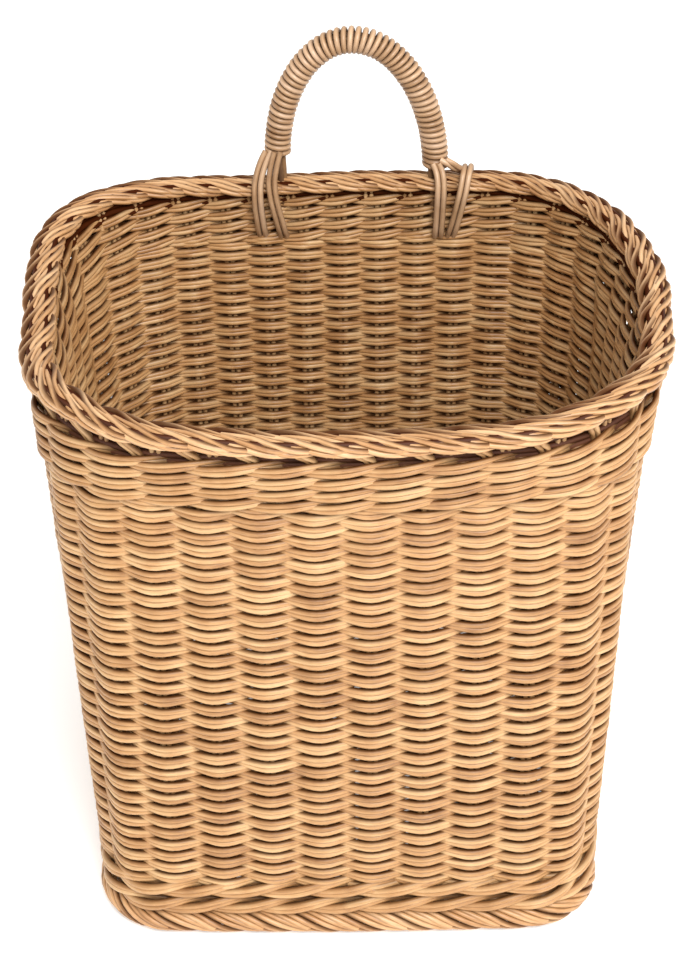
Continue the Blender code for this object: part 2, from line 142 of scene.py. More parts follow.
def onWall(turn, height, out=0.0):
    # points in mm on the wall's middle surface, moved outwards by out, and the outward normals
    turn = np.atleast_1d(np.asarray(turn, float))
    height = np.broadcast_to(np.asarray(height, float), turn.shape)
    place = turn % 1.0 * table["turns"]
    level = np.clip(height / table["step"], 0.0, len(wallTable) - 1.001)    # below the last row
    near, low = place.astype(int), level.astype(int)
    across, up = (place - near)[:, None], (level - low)[:, None]
    near, after = near % table["turns"], (near + 1) % table["turns"]
    read = ((wallTable[low, near] * (1 - across) + wallTable[low, after] * across) * (1 - up)
            + (wallTable[low + 1, near] * (1 - across) + wallTable[low + 1, after] * across) * up)
    normal = np.column_stack((read[:, 2:], np.zeros(len(read))))
    normal /= np.linalg.norm(normal, axis=1)[:, None]
    lift = 0.0
    for part in ("rim", "collar"):
        start, full = uneven[part + "From"], uneven[part + "Full"]
        lift = lift + unevenBy(read, uneven[part + "Lifts"], (height - start) / (full - start))
    point = np.column_stack((read[:, :2], height + lift))
    grown = (height - uneven["from"]) / (basket["rimTop"] - uneven["from"])
    return point + normal * (out + unevenBy(read, uneven["places"], grown))[:, None], normal


def stakeTurn(index):
    return (index + basket["firstStake"]) / stakes


editor = {"columns": 12, "wide": 180, "tall": 220}    # how the nodes are laid out


# One node with its settings; an input takes a value, a socket, or a node's first output
def addNode(tree, kind, inputs=None, **settings):
    node = tree.nodes.new(kind)
    row, column = divmod(len(tree.nodes), editor["columns"])
    node.location = (editor["wide"] * column, -editor["tall"] * row)
    for name, value in settings.items():
        setattr(node, name, value)
    for key, value in (inputs or {}).items():
        if isinstance(value, bpy.types.Node):
            value = value.outputs[0]
        if isinstance(value, bpy.types.NodeSocket):
            tree.links.new(value, node.inputs[key])
        else:
            node.inputs[key].default_value = value
    return node


# What a guide line carries at each of its points, and what the tree leaves on the way
guideValues = {"phase": "FLOAT", "strand": "FLOAT", "outward": "FLOAT_VECTOR",
               "upward": "FLOAT_VECTOR", "beside": "FLOAT_VECTOR"}
treeValues = ("neighbour", "open_way")

strandInputs = (
    ("Guide", "Geometry", None),
    ("Out Middle", "Float", 0.0), ("Out Swing", "Float", 0.0),    # out and back with each wave
    ("Out Third", "Float", 0.0),                                  # a third wave, for longer tips
    ("Rise", "Float", 0.0), ("Dip", "Float", 0.0),                # up between stakes, down at them
    ("Double", "Bool", True), ("Pair Half", "Float", 1.2 * mm),   # from a pair's middle to a rod
    ("Squeeze", "Float", 0.0), ("Out Wider", "Float", 0.0),       # less between stakes, more over
    ("Rope Lay", "Float", 0.0),                                   # 1 lays the pair like rope
    ("Radius", "Float", 1.2 * mm), ("Radius Vary", "Float", 0.12), ("Wander", "Float", 0.3 * mm),
    ("Shade", "Float", 1.0), ("Mate Light", "Float", 0.1),        # strength of the painted shade, and the painted light left where a pair touches
    ("Sides", "Int", 8), ("Seed", "Int", 3), ("Material", "Material", None),
)

# What every strand shares
strandRules = {
    "wanderWaves": (55.0, 55.0, 210.0),         # per metre, quicker up the wall than along it
    "toneStep": 977.0, "mateStep": 500.0,       # keep the tones of strands and of mates apart
    "facingFrom": 0.5, "facingLight": 0.1,      # painted shade on the side that faces a neighbour
    "turnedFrom": -0.6, "turnedLight": 0.1,     # and painted shade on the side that is turned into the weave
}


# Strands that swing about a guide line, singly or in pairs: over and under stakes, or like rope
def makeStrandTree():
    rules = strandRules
    tree = bpy.data.node_groups.new("strands about a guide", "GeometryNodeTree")
    for name, kind, value in strandInputs:
        made = tree.interface.new_socket(name=name, in_out="INPUT", socket_type="NodeSocket" + kind)
        if value is not None:
            made.default_value = value
    tree.interface.new_socket(name="Strands", in_out="OUTPUT", socket_type="NodeSocketGeometry")
    given = addNode(tree, "NodeGroupInput").outputs
    phase, strand, outward, upward, beside = [
        addNode(tree, "GeometryNodeInputNamedAttribute", {0: name}, data_type=kind)
        for name, kind in guideValues.items()]
    cosine = addNode(tree, "ShaderNodeMath", {0: phase}, operation="COSINE")
    sine = addNode(tree, "ShaderNodeMath", {0: phase}, operation="SINE")
    thrice = addNode(tree, "ShaderNodeMath", {0: phase, 1: 3.0}, operation="MULTIPLY")
    third = addNode(tree, "ShaderNodeMath", {0: thrice}, operation="COSINE")
    # how far out and how far up the pair's middle goes
    swing = addNode(tree, "ShaderNodeMath",
                    {0: cosine, 1: given["Out Swing"], 2: given["Out Middle"]},
                    operation="MULTIPLY_ADD")
    out = addNode(tree, "ShaderNodeMath", {0: third, 1: given["Out Third"], 2: swing},
                  operation="MULTIPLY_ADD")
    dip = addNode(tree, "ShaderNodeMath", {0: cosine, 1: given["Dip"]}, operation="MULTIPLY")
    rise = addNode(tree, "ShaderNodeMath", {0: sine, 1: given["Rise"], 2: dip},
                   operation="MULTIPLY_ADD")
    outMove = addNode(tree, "ShaderNodeVectorMath", {0: outward, "Scale": out}, operation="SCALE")
    upMove = addNode(tree, "ShaderNodeVectorMath", {0: upward, "Scale": rise}, operation="SCALE")
    move = addNode(tree, "ShaderNodeVectorMath", {0: outMove, 1: upMove}, operation="ADD")
    # which way the pair lies: one above the other, or turning about each other like rope
    laid = addNode(tree, "ShaderNodeMath", {0: phase, 1: math.pi / 2}, operation="ADD")
    angle = addNode(tree, "ShaderNodeMix", {0: given["Rope Lay"], 2: math.pi / 2, 3: laid},
                    data_type="FLOAT")
    pairOut = addNode(tree, "ShaderNodeMath", {0: angle}, operation="COSINE")
    pairOut = addNode(tree, "ShaderNodeVectorMath", {0: outward, "Scale": pairOut},
                      operation="SCALE")
    pairUp = addNode(tree, "ShaderNodeMath", {0: angle}, operation="SINE")
    pairUp = addNode(tree, "ShaderNodeVectorMath", {0: upward, "Scale": pairUp}, operation="SCALE")
    pairMove = addNode(tree, "ShaderNodeVectorMath", {0: pairOut, 1: pairUp}, operation="ADD")
    # how far apart it lies: wider over a stake, and squeezed together between stakes
    crossing = addNode(tree, "ShaderNodeMath", {0: sine, 1: sine}, operation="MULTIPLY")
    squeezed = addNode(tree, "ShaderNodeMath", {0: crossing, 1: given["Squeeze"]},
                       operation="MULTIPLY")
    kept = addNode(tree, "ShaderNodeMath", {0: cosine, 1: given["Out Wider"], 2: 1.0},
                   operation="MULTIPLY_ADD")
    kept = addNode(tree, "ShaderNodeMath", {0: kept, 1: squeezed}, operation="SUBTRACT")
    half = addNode(tree, "ShaderNodeMath", {0: kept, 1: given["Pair Half"]}, operation="MULTIPLY")
    pairMove = addNode(tree, "ShaderNodeVectorMath", {0: pairMove, "Scale": half},
                       operation="SCALE")
    # which way the neighbouring strands lie, and which way the strand is open to view, for the
    # painted shade below
    neighbour = addNode(tree, "ShaderNodeVectorMath", {0: pairMove, "Scale": 1 / mm},
                        operation="SCALE")
    neighbour = addNode(tree, "ShaderNodeVectorMath", {0: neighbour, 1: beside}, operation="ADD")
    neighbour = addNode(tree, "ShaderNodeVectorMath", {0: neighbour}, operation="NORMALIZE")
    openOut = addNode(tree, "ShaderNodeVectorMath", {0: outward, "Scale": cosine},
                      operation="SCALE")
    openUp = addNode(tree, "ShaderNodeMath", {0: sine, 1: given["Rope Lay"]}, operation="MULTIPLY")
    openUp = addNode(tree, "ShaderNodeVectorMath", {0: upward, "Scale": openUp}, operation="SCALE")
    openWay = addNode(tree, "ShaderNodeVectorMath", {0: openOut, 1: openUp}, operation="ADD")
    # the wander of handwork
    place = addNode(tree, "GeometryNodeInputPosition")
    stretched = addNode(tree, "ShaderNodeVectorMath", {0: place, 1: rules["wanderWaves"]},
                        operation="MULTIPLY")
    noise = addNode(tree, "ShaderNodeTexNoise", {"Vector": stretched, "Scale": 1.0, "Detail": 1.0})
    centred = addNode(tree, "ShaderNodeVectorMath", {0: noise.outputs["Color"], 1: (0.5, 0.5, 0.5)},
                      operation="SUBTRACT")
    wander = addNode(tree, "ShaderNodeVectorMath", {0: centred, "Scale": given["Wander"]},
                     operation="SCALE")
    move = addNode(tree, "ShaderNodeVectorMath", {0: move, 1: wander}, operation="ADD")
    # one number for each stroke, for its tone and thickness
    turned = addNode(tree, "ShaderNodeMath", {0: phase, 1: math.pi}, operation="ADD")
    strokes = addNode(tree, "ShaderNodeMath", {0: turned, 1: wholeTurn}, operation="DIVIDE")
    stroke = addNode(tree, "ShaderNodeMath", {0: strokes}, operation="FLOOR")
    stroke = addNode(tree, "ShaderNodeMath", {0: strand, 1: rules["toneStep"], 2: stroke},
                     operation="MULTIPLY_ADD")
    line = addNode(tree, "GeometryNodeMeshToCurve", {0: given["Guide"]})
    length = addNode(tree, "GeometryNodeSplineParameter").outputs["Length"]
    line = addNode(tree, "GeometryNodeStoreNamedAttribute", {0: line, 2: "along", 3: length},
                   data_type="FLOAT", domain="POINT")
    line = addNode(tree, "GeometryNodeStoreNamedAttribute", {0: line, 2: "open_way", 3: openWay},
                   data_type="FLOAT_VECTOR", domain="POINT")
    rods = []
    for share, step in ((1.0, 0.0), (-1.0, rules["mateStep"])):
        ownMove = addNode(tree, "ShaderNodeVectorMath", {0: pairMove, "Scale": share},
                          operation="SCALE")
        ownMove = addNode(tree, "ShaderNodeVectorMath", {0: ownMove, 1: move}, operation="ADD")
        rod = addNode(tree, "GeometryNodeSetPosition", {0: line, "Offset": ownMove})
        ownSide = addNode(tree, "ShaderNodeVectorMath", {0: neighbour, "Scale": share},
                          operation="SCALE")
        rod = addNode(tree, "GeometryNodeStoreNamedAttribute", {0: rod, 2: "neighbour", 3: ownSide},
                      data_type="FLOAT_VECTOR", domain="POINT")
        own = addNode(tree, "ShaderNodeMath", {0: stroke, 1: step}, operation="ADD")
        tone = addNode(tree, "FunctionNodeRandomValue",
                       {2: 0.0, 3: 1.0, "ID": own, "Seed": given["Seed"]},
                       data_type="FLOAT").outputs[1]
        rod = addNode(tree, "GeometryNodeStoreNamedAttribute", {0: rod, 2: "tone", 3: tone},
                      data_type="FLOAT", domain="POINT")
        vary = addNode(tree, "ShaderNodeMath", {0: tone, 1: 0.5}, operation="SUBTRACT")
        vary = addNode(tree, "ShaderNodeMath", {0: vary, 1: given["Radius Vary"], 2: 1.0},
                       operation="MULTIPLY_ADD")
        radius = addNode(tree, "ShaderNodeMath", {0: vary, 1: given["Radius"]},
                         operation="MULTIPLY")
        rods.append(addNode(tree, "GeometryNodeSetCurveRadius", {0: rod, "Radius": radius}))
    none = addNode(tree, "GeometryNodeJoinGeometry")
    other = addNode(tree, "GeometryNodeSwitch", {0: given["Double"], 1: none, 2: rods[1]},
                    input_type="GEOMETRY")
    both = addNode(tree, "GeometryNodeJoinGeometry", {0: rods[0]})
    tree.links.new(other.outputs[0], both.inputs[0])
    # the round section, which keeps the way each side faces for the fibres
    ring = addNode(tree, "GeometryNodeCurvePrimitiveCircle",
                   {"Resolution": given["Sides"], "Radius": 1.0})
    around = addNode(tree, "GeometryNodeSplineParameter").outputs["Factor"]
    around = addNode(tree, "ShaderNodeMath", {0: around, 1: wholeTurn}, operation="MULTIPLY")
    aroundCosine = addNode(tree, "ShaderNodeMath", {0: around}, operation="COSINE")
    aroundSine = addNode(tree, "ShaderNodeMath", {0: around}, operation="SINE")
    side = addNode(tree, "ShaderNodeCombineXYZ", {0: aroundCosine, 1: aroundSine})
    ring = addNode(tree, "GeometryNodeStoreNamedAttribute", {0: ring, 2: "side", 3: side},
                   data_type="FLOAT_VECTOR", domain="POINT")
    thickness = addNode(tree, "GeometryNodeInputRadius")
    tube = addNode(tree, "GeometryNodeCurveToMesh", {"Curve": both, "Profile Curve": ring,
                                                     "Scale": thickness, "Fill Caps": True})
    # painted shade: the sides that touch other strands, and those turned into the weave, get a low
    # lit value that darkens their colour in the material
    normal = addNode(tree, "GeometryNodeInputNormal")
    neighbour, openWay = [
        addNode(tree, "GeometryNodeInputNamedAttribute", {0: name}, data_type="FLOAT_VECTOR")
        for name in treeValues]
    facing = addNode(tree, "ShaderNodeVectorMath", {0: normal, 1: neighbour},
                     operation="DOT_PRODUCT").outputs["Value"]
    outer = addNode(tree, "ShaderNodeMapRange",
                    {"Value": facing, "From Min": rules["facingFrom"], "From Max": 1.0,
                     "To Min": 1.0, "To Max": rules["facingLight"]})
    inner = addNode(tree, "ShaderNodeMapRange",
                    {"Value": facing, "From Min": -rules["facingFrom"], "From Max": -1.0,
                     "To Min": 1.0, "To Max": given["Mate Light"]})
    touching = addNode(tree, "ShaderNodeMath", {0: outer, 1: inner}, operation="MULTIPLY")
    inward = addNode(tree, "ShaderNodeVectorMath", {0: normal, 1: openWay},
                     operation="DOT_PRODUCT").outputs["Value"]
    turnedIn = addNode(tree, "ShaderNodeMapRange",
                       {"Value": inward, "From Min": rules["turnedFrom"], "From Max": 0.0,
                        "To Min": rules["turnedLight"], "To Max": 1.0})
    lit = addNode(tree, "ShaderNodeMath", {0: touching, 1: turnedIn}, operation="MULTIPLY")
    lit = addNode(tree, "ShaderNodeMapRange", {"Value": given["Shade"], "To Min": 1.0,
                                               "To Max": lit})
    tube = addNode(tree, "GeometryNodeStoreNamedAttribute", {0: tube, 2: "lit", 3: lit},
                   data_type="FLOAT", domain="POINT")
    tube = addNode(tree, "GeometryNodeSetShadeSmooth", {0: tube})
    tube = addNode(tree, "GeometryNodeRealizeInstances", {0: tube})
    tube = addNode(tree, "GeometryNodeSetMaterial", {0: tube, "Material": given["Material"]})
    result = addNode(tree, "NodeGroupOutput")
    tree.links.new(tube.outputs[0], result.inputs[0])
    return tree


strandTree = makeStrandTree()


# A guide is a run of points in mm with its phase and its own out and up directions
def guide(points, phase, outward, upward, beside=(0, 0, 0), closed=False):
    count = len(points)
    return {"points": np.asarray(points, float), "closed": closed,
            "phase": np.broadcast_to(np.asarray(phase, float), (count,)),
            "outward": np.broadcast_to(np.asarray(outward, float), (count, 3)),
            "upward": np.broadcast_to(np.asarray(upward, float), (count, 3)),
            "beside": np.broadcast_to(np.asarray(beside, float), (count, 3))}


def makeGuideMesh(name, guides):
    points, edges, start = [], [], 0
    for number, line in enumerate(guides):
        count = len(line["points"])
        line["strand"] = np.full(count, number)
        points.append(line["points"] * mm)
        edges += [(start + k, start + k + 1) for k in range(count - 1)]
        if line["closed"]:
            edges.append((start + count - 1, start))
        start += count
    mesh = bpy.data.meshes.new(name)
    mesh.from_pydata(np.vstack(points).tolist(), edges, [])
    for key, kind in guideValues.items():
        values = np.concatenate([line[key] for line in guides]).astype(np.float32)
        made = mesh.attributes.new(key, kind, "POINT")
        made.data.foreach_set("value" if kind == "FLOAT" else "vector", values.ravel())
    return mesh


# Strands made by the tree along their guides, turned to a plain mesh and put on the frame
def weavePiece(name, guides, values, material, nodes=()):
    mesh = makeGuideMesh(name + "_guide", guides)
    holder = bpy.data.objects.new(name + "_guide", mesh)
    bpy.context.scene.collection.objects.link(holder)
    modifier = holder.modifiers.new("strands", "NODES")
    modifier.node_group = strandTree
    chosen = dict(values, Material=material)
    for item in strandTree.interface.items_tree:
        if item.in_out == "INPUT" and item.name in chosen:
            modifier[item.identifier] = chosen[item.name]
    graph = bpy.context.evaluated_depsgraph_get()
    plain = bpy.data.meshes.new_from_object(holder.evaluated_get(graph), depsgraph=graph)
    holder.modifiers.clear()
    bpy.data.objects.remove(holder, do_unlink=True)
    for key in (*guideValues, *treeValues):
        if key in plain.attributes:
            plain.attributes.remove(plain.attributes[key])
    plain.name = name
    piece = bpy.data.objects.new(name, plain)
    bpy.context.scene.collection.objects.link(piece)
    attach(piece, "root")
    if nodes:
        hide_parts(*nodes)
    print(name, len(plain.polygons), "faces")


def srgb(text):
    # a hex colour as seen on a screen, turned to Blender's linear values
    parts = [int(text[k:k + 2], 16) / 255 for k in (1, 3, 5)]
    return [part / 12.92 if part <= 0.04045 else ((part + 0.055) / 1.055) ** 2.4
            for part in parts] + [1.0]


# Round cane: long soft fibres, blotches in the stem's own colour, and a dull wax sheen, with
# painted shade where strands touch and the sheen cut there
cane = {
    "fibresRound": 3.2,             # to the rod's radius, so they are about 0.45 mm across
    "fibresPerMetre": 40.0,         # 25 mm long
    "fibreDetail": 4.0, "fibreRoughness": 0.65, "fibreShift": 90.0,
    "blotchesPerMetre": 85.0,       # 12 mm long
    "blotchDetail": 3.0,
    "toneShare": 0.28, "fibreShare": 0.55, "blotchShare": 0.5,
    "darkAt": 0.38, "middleAt": 0.64, "lightAt": 0.92,
    "shade": "#3C1602",             # painted shade: the red brown mixed into the colour where strands touch and no light comes
    "gloss": 0.6, "smoother": 0.08, "rougher": 0.14,
    "bump": 0.35, "bumpHeight": 0.2 * mm, "ior": 1.5,
}


def makeCane(name, light, middle, dark, roughness):
    material = bpy.data.materials.new(name)
    material.use_nodes = True
    tree = material.node_tree
    shader = tree.nodes["Principled BSDF"]
    tone, side, along, lit = [
        addNode(tree, "ShaderNodeAttribute", attribute_name=key).outputs[output]
        for key, output in (("tone", "Fac"), ("side", "Vector"), ("along", "Fac"), ("lit", "Fac"))]
    # fibres drawn along each strand, and shifted so that no two strands match
    lengthwise = addNode(tree, "ShaderNodeMath", {0: along, 1: cane["fibresPerMetre"]},
                         operation="MULTIPLY")
    shifted = addNode(tree, "ShaderNodeMath", {0: tone, 1: cane["fibreShift"], 2: lengthwise},
                      operation="MULTIPLY_ADD")
    split = addNode(tree, "ShaderNodeSeparateXYZ", {0: side}).outputs
    fibrePlace = addNode(tree, "ShaderNodeCombineXYZ", {0: split[0], 1: split[1], 2: shifted})
    fibre = addNode(tree, "ShaderNodeTexNoise",
                    {"Vector": fibrePlace, "Scale": cane["fibresRound"],
                     "Detail": cane["fibreDetail"], "Roughness": cane["fibreRoughness"]})
    place = addNode(tree, "ShaderNodeTexCoord").outputs["Object"]
    blotch = addNode(tree, "ShaderNodeTexNoise",
                     {"Vector": place, "Scale": cane["blotchesPerMetre"],
                      "Detail": cane["blotchDetail"]})
    # the colour, from the strand's own tone, its fibres and its blotches
    mixed = addNode(tree, "ShaderNodeMath", {0: tone, 1: cane["toneShare"]}, operation="MULTIPLY")
    mixed = addNode(tree, "ShaderNodeMath", {0: fibre, 1: cane["fibreShare"], 2: mixed},
                    operation="MULTIPLY_ADD")
    mixed = addNode(tree, "ShaderNodeMath", {0: blotch, 1: cane["blotchShare"], 2: mixed},
                    operation="MULTIPLY_ADD")
    ramp = addNode(tree, "ShaderNodeValToRGB", {0: mixed})
    stops = ramp.color_ramp.elements
    stops[0].position, stops[0].color = cane["darkAt"], srgb(dark)
    stops[1].position, stops[1].color = cane["lightAt"], srgb(light)
    stops.new(cane["middleAt"]).color = srgb(middle)
    # painted shade: the colour turns to the shade colour where the lit value is low, between
    # strands and on sides turned into the weave, and the sheen drops there too
    colour = addNode(tree, "ShaderNodeMix", {0: lit, 6: srgb(cane["shade"]), 7: ramp},
                     data_type="RGBA", blend_type="MIX")
    sheen = addNode(tree, "ShaderNodeMath", {0: lit, 1: cane["gloss"]}, operation="MULTIPLY")
    shine = addNode(tree, "ShaderNodeMapRange",
                    {"Value": fibre, "To Min": roughness - cane["smoother"],
                     "To Max": roughness + cane["rougher"]})
    bump = addNode(tree, "ShaderNodeBump", {"Strength": cane["bump"], "Height": fibre,
                                            "Distance": cane["bumpHeight"]})
    shader.inputs["IOR"].default_value = cane["ior"]
    for socket, source in (("Base Color", colour.outputs[2]), ("Roughness", shine.outputs[0]),
                           ("Specular IOR Level", sheen.outputs[0]), ("Normal", bump.outputs[0])):
        tree.links.new(source, shader.inputs[socket])
    return material


# Each finish by its light, middle and dark colour and its roughness, and what that gives the eye
weaverCane = makeCane("weaver cane, sanded", "#D6AF7D", "#BD8D5A", "#906236", 0.38)    # warm straw
stakeCane = makeCane("stake cane, pale core", "#D2AB7A", "#B78B5B", "#8C6238", 0.5)    # dull straw
borderCane = makeCane("border cane, smooth rind side", "#DFB587", "#C79664", "#9A683C",
                      0.36)                                 # the palest, with a soft gleam
wrapCane = makeCane("handle strand, close-wound", "#D8B696", "#C09A74", "#906A48",
                    0.36)                                   # rosier, rubbed smooth by the hand
coreCane = makeCane("handle core, raw stems", "#94704A", "#6F4D2E", "#4C321C", 0.6)    # rough brown
fillerCane = makeCane("border filler, raw stems with painted shade", "#74421F", "#552B12", "#371908",
                      0.65)                                 # raw stems, red brown, painted darker for the shade under the border
baseCane = makeCane("base cane, unsanded", "#B98F61", "#986C40", "#704B28", 0.55)      # tan, dull
print("materials made")

# The woven body: one doubled strand that climbs as a spiral, over one stake and behind the next
body = {
    "bottom": 29.6, "top": 239.4,
    "pitchTop": 2.8, "pitchMiddle": 3.42, "pitchFoot": 3.15, "middleHeight": 100.0,   # row to row
    "pointsPerStake": 8, "bands": 4, "seed": 3,
    "strands": {"Out Swing": 2.45 * mm, "Out Third": 0.14 * mm, "Rise": 0.1 * mm,
                "Dip": -0.7 * mm, "Pair Half": 1.1 * mm, "Squeeze": 0.2, "Out Wider": 0.16,
                "Radius": 1.46 * mm, "Radius Vary": 0.1, "Wander": 0.6 * mm, "Mate Light": 0.5},
}


def bodyPitch(height):
    span = height - body["middleHeight"]
    end, pitch = ("top", "pitchTop") if span > 0 else ("bottom", "pitchFoot")
    reach = span / (body[end] - body["middleHeight"])
    return body["pitchMiddle"] + (body[pitch] - body["pitchMiddle"]) * reach ** 2


def makeBody():
    step = 1.0 / (stakes * body["pointsPerStake"])
    heights, turns = [body["bottom"]], [0.0]
    while heights[-1] < body["top"]:
        heights.append(heights[-1] + bodyPitch(heights[-1]) * step)
        turns.append(turns[-1] + step)
    heights, turns = np.array(heights), np.array(turns)
    points, normals = onWall(turns, heights)
    phase = math.pi * (stakes * turns - basket["firstStake"])
    edges = np.linspace(0, len(turns) - 1, body["bands"] + 1).astype(int)
    for band in range(body["bands"]):
        part = slice(edges[band], edges[band + 1] + 1)
        line = guide(points[part], phase[part], normals[part], (0, 0, 1))
        weavePiece("body_weave_band_%d" % (band + 1), [line],
                   dict(body["strands"], Seed=body["seed"] + band), weaverCane, ("body_weave",))


makeBody()

# Wales: three doubled strands at a time, each over two stakes and behind one
collar = {
    "rows": 4, "weavers": 3, "bottom": 238.2, "top": 261.6, "pointsPerStake": 8,
    "strands": {"Out Middle": 1.0 * mm, "Out Swing": 3.5 * mm, "Rise": 1.3 * mm,
                "Pair Half": 1.16 * mm, "Squeeze": 0.35, "Radius": 1.26 * mm, "Radius Vary": 0.1,
                "Wander": 0.6 * mm, "Mate Light": 0.5, "Seed": 11},
}
footWale = {
    "rows": 2, "weavers": 3, "bottom": 13.4, "top": 33.4, "pointsPerStake": 8,
    "strands": {"Out Middle": 0.7 * mm, "Out Swing": 3.1 * mm, "Rise": 2.6 * mm,
                "Pair Half": 1.35 * mm, "Squeeze": 0.3, "Radius": 1.55 * mm, "Radius Vary": 0.12,
                "Wander": 0.7 * mm, "Mate Light": 0.6, "Shade": 0.8, "Seed": 13},
}


def makeWale(name, wale, node):
    count = stakes * wale["pointsPerStake"]
    turns = np.arange(count) / count
    pitch = (wale["top"] - wale["bottom"]) / wale["rows"]
    guides = []
    for row in range(wale["rows"]):
        points, normals = onWall(turns, wale["bottom"] + pitch * (row + 0.5))
        for weaver in range(wale["weavers"]):
            gone = stakes * turns - basket["firstStake"] - weaver + 0.5
            guides.append(guide(points, wholeTurn * gone / wale["weavers"], normals, (0, 0, 1),
                                closed=True))
    weavePiece(name, guides, wale["strands"], weaverCane, (node,))


makeWale("collar_wale_strands", collar, "collar_wale")
makeWale("foot_wale_strands", footWale, "foot_wale")

# Borders: strokes of four rods laid aslant, each over the lead's number of stakes. A stroke is
# broad on top and closes to a tip below; the cores lie out from the wall and at a height, in mm
rimBorder = {
    "lead": 4, "strokes": 39, "pairPhases": (-0.05, 0.05), "pointsPerStake": 8, "height": 269.0,
    "spread": 0.68, "spreadSwing": 0.42, "spreadTurn": 0.35, "seed": 17,
    "strands": {"Out Swing": 5.4 * mm, "Out Third": 0.7 * mm, "Rise": 1.9 * mm, "Rope Lay": 1.0,
                "Pair Half": 1.14 * mm, "Radius": 1.24 * mm, "Radius Vary": 0.16,
                "Wander": 1.0 * mm},
    "cores": ((-2.8, 269.0), (0.0, 269.0), (2.8, 269.0), (-0.8, 258.0), (-0.8, 260.8),
              (-0.8, 263.6), (-0.8, 266.4)),
    "coreRadius": 1.5, "coreWander": 0.4,
}
footBorder = {
    "lead": 3, "strokes": 40, "pairPhases": (-0.07, 0.07), "pointsPerStake": 8, "height": 6.9,
    "spread": 0.68, "spreadSwing": 0.42, "spreadTurn": 0.35, "seed": 23,
    "strands": {"Out Swing": 4.0 * mm, "Rise": 4.3 * mm, "Rope Lay": 1.0, "Pair Half": 1.3 * mm,
                "Radius": 1.35 * mm, "Radius Vary": 0.14, "Wander": 0.8 * mm},
    "cores": ((-1.2, 6.9), (1.2, 6.9)), "coreRadius": 2.0, "coreWander": 0.4,
}


def makeBorder(name, border, node):
    count = stakes * border["pointsPerStake"]
    turns = np.arange(count * border["lead"]) / count
    points, normals = onWall(turns, border["height"])
    wound = -wholeTurn * border["strokes"] / border["lead"] * turns
    spread = border["spread"] + border["spreadSwing"] * np.sin(wound + border["spreadTurn"])
    rods = [guide(points, wound + wholeTurn * place * spread, normals, (0, 0, 1), closed=True)
            for place in border["pairPhases"]]
    weavePiece(name, rods, dict(border["strands"], Seed=border["seed"]), borderCane, (node,))
    cores = []
    for out, height in border["cores"]:
        line, normals = onWall(turns[:count:2], height, out)
        cores.append(guide(line, 0.0, normals, (0, 0, 1), closed=True))
    weavePiece(name + "_core", cores,
               {"Double": False, "Radius": border["coreRadius"] * mm,
                "Wander": border["coreWander"] * mm, "Seed": border["seed"] + 1},
               fillerCane, ())


makeBorder("rim_border_rods", rimBorder, "rim_border")
makeBorder("foot_border_rods", footBorder, "foot_border")

# Stakes: twin rods that stand in the wall and lean over under the border, and short uprights
stakePair = {
    "half": 1.35, "radius": 1.35, "wander": 0.25, "seed": 29,
    "bottom": 12.0, "straightTop": basket["collarTop"] - 1.0, "straightPoints": 14,
    "bendHeights": (basket["collarTop"] + 1.2, 265.0, 267.0), "bendShares": (0.25, 0.7, 1.0),
    "lean": 0.24, "leanOut": 4.0,              # lean in stake spacings, leanOut in mm
    "uprightShift": 0.3, "uprightOut": -1.0, "uprightPoints": 4, "uprightSeed": 31,
    "uprightBottom": basket["collarTop"] - 6.0, "uprightTop": 268.0,
}


def makeStakes():
    straight = np.linspace(stakePair["bottom"], stakePair["straightTop"],
                           stakePair["straightPoints"])
    heights = np.concatenate((straight, stakePair["bendHeights"]))
    lean = np.concatenate((np.zeros(len(straight)), stakePair["bendShares"]))
    rise = np.linspace(stakePair["uprightBottom"], stakePair["uprightTop"],
                       stakePair["uprightPoints"])
    guides, uprights = [], []
    for index in range(stakes):
        turn = stakeTurn(index)
        phase = wholeTurn * (index + 0.25)      # a whole turn apart, so each has its own tone
        points, normals = onWall(turn - stakePair["lean"] / stakes * lean, heights,
                                 stakePair["leanOut"] * lean)
        guides.append(guide(points, phase, normals, np.cross(normals, (0, 0, 1))))
        points, normals = onWall(np.full(len(rise), turn + stakePair["uprightShift"] / stakes),
                                 rise, stakePair["uprightOut"])
        uprights.append(guide(points, phase, normals, np.cross(normals, (0, 0, 1))))
    values = {"Pair Half": stakePair["half"] * mm, "Radius": stakePair["radius"] * mm,
              "Wander": stakePair["wander"] * mm}
    names = ["stake_%02d" % (index + 1) for index in range(stakes)]
    weavePiece("stake_pairs", guides, dict(values, Seed=stakePair["seed"]), stakeCane, names)
    weavePiece("border_uprights", uprights, dict(values, Seed=stakePair["uprightSeed"]), stakeCane,
               ())


makeStakes()

# The base: sticks from front to back, woven with doubled strands from side to side
base = {
    "height": 16.2, "inset": 2.5, "outlinePoints": 312,
    "stickPitch": 22.0, "stickPoints": 6, "rowPitch": 3.9, "rowStart": 2.0, "rowEnd": 1.0,
    "pointsPerStick": 8,
    "sticks": {"Pair Half": 1.7 * mm, "Radius": 1.7 * mm, "Seed": 37},
    "rows": {"Out Swing": 2.5 * mm, "Pair Half": 1.15 * mm, "Squeeze": 0.3, "Radius": 1.25 * mm,
             "Wander": 0.6 * mm, "Seed": 41},
}


def chord(outline, axis, value, tiny=1e-9):
    # where a straight line across the outline enters and leaves it
    after = np.roll(outline, -1, axis=0)
    hit = (outline[:, axis] - value) * (after[:, axis] - value) <= 0
    span = after[hit, axis] - outline[hit, axis]
    share = (value - outline[hit, axis]) / np.where(np.abs(span) < tiny, tiny, span)
    other = outline[hit, 1 - axis] + share * (after[hit, 1 - axis] - outline[hit, 1 - axis])
    return other.min(), other.max()


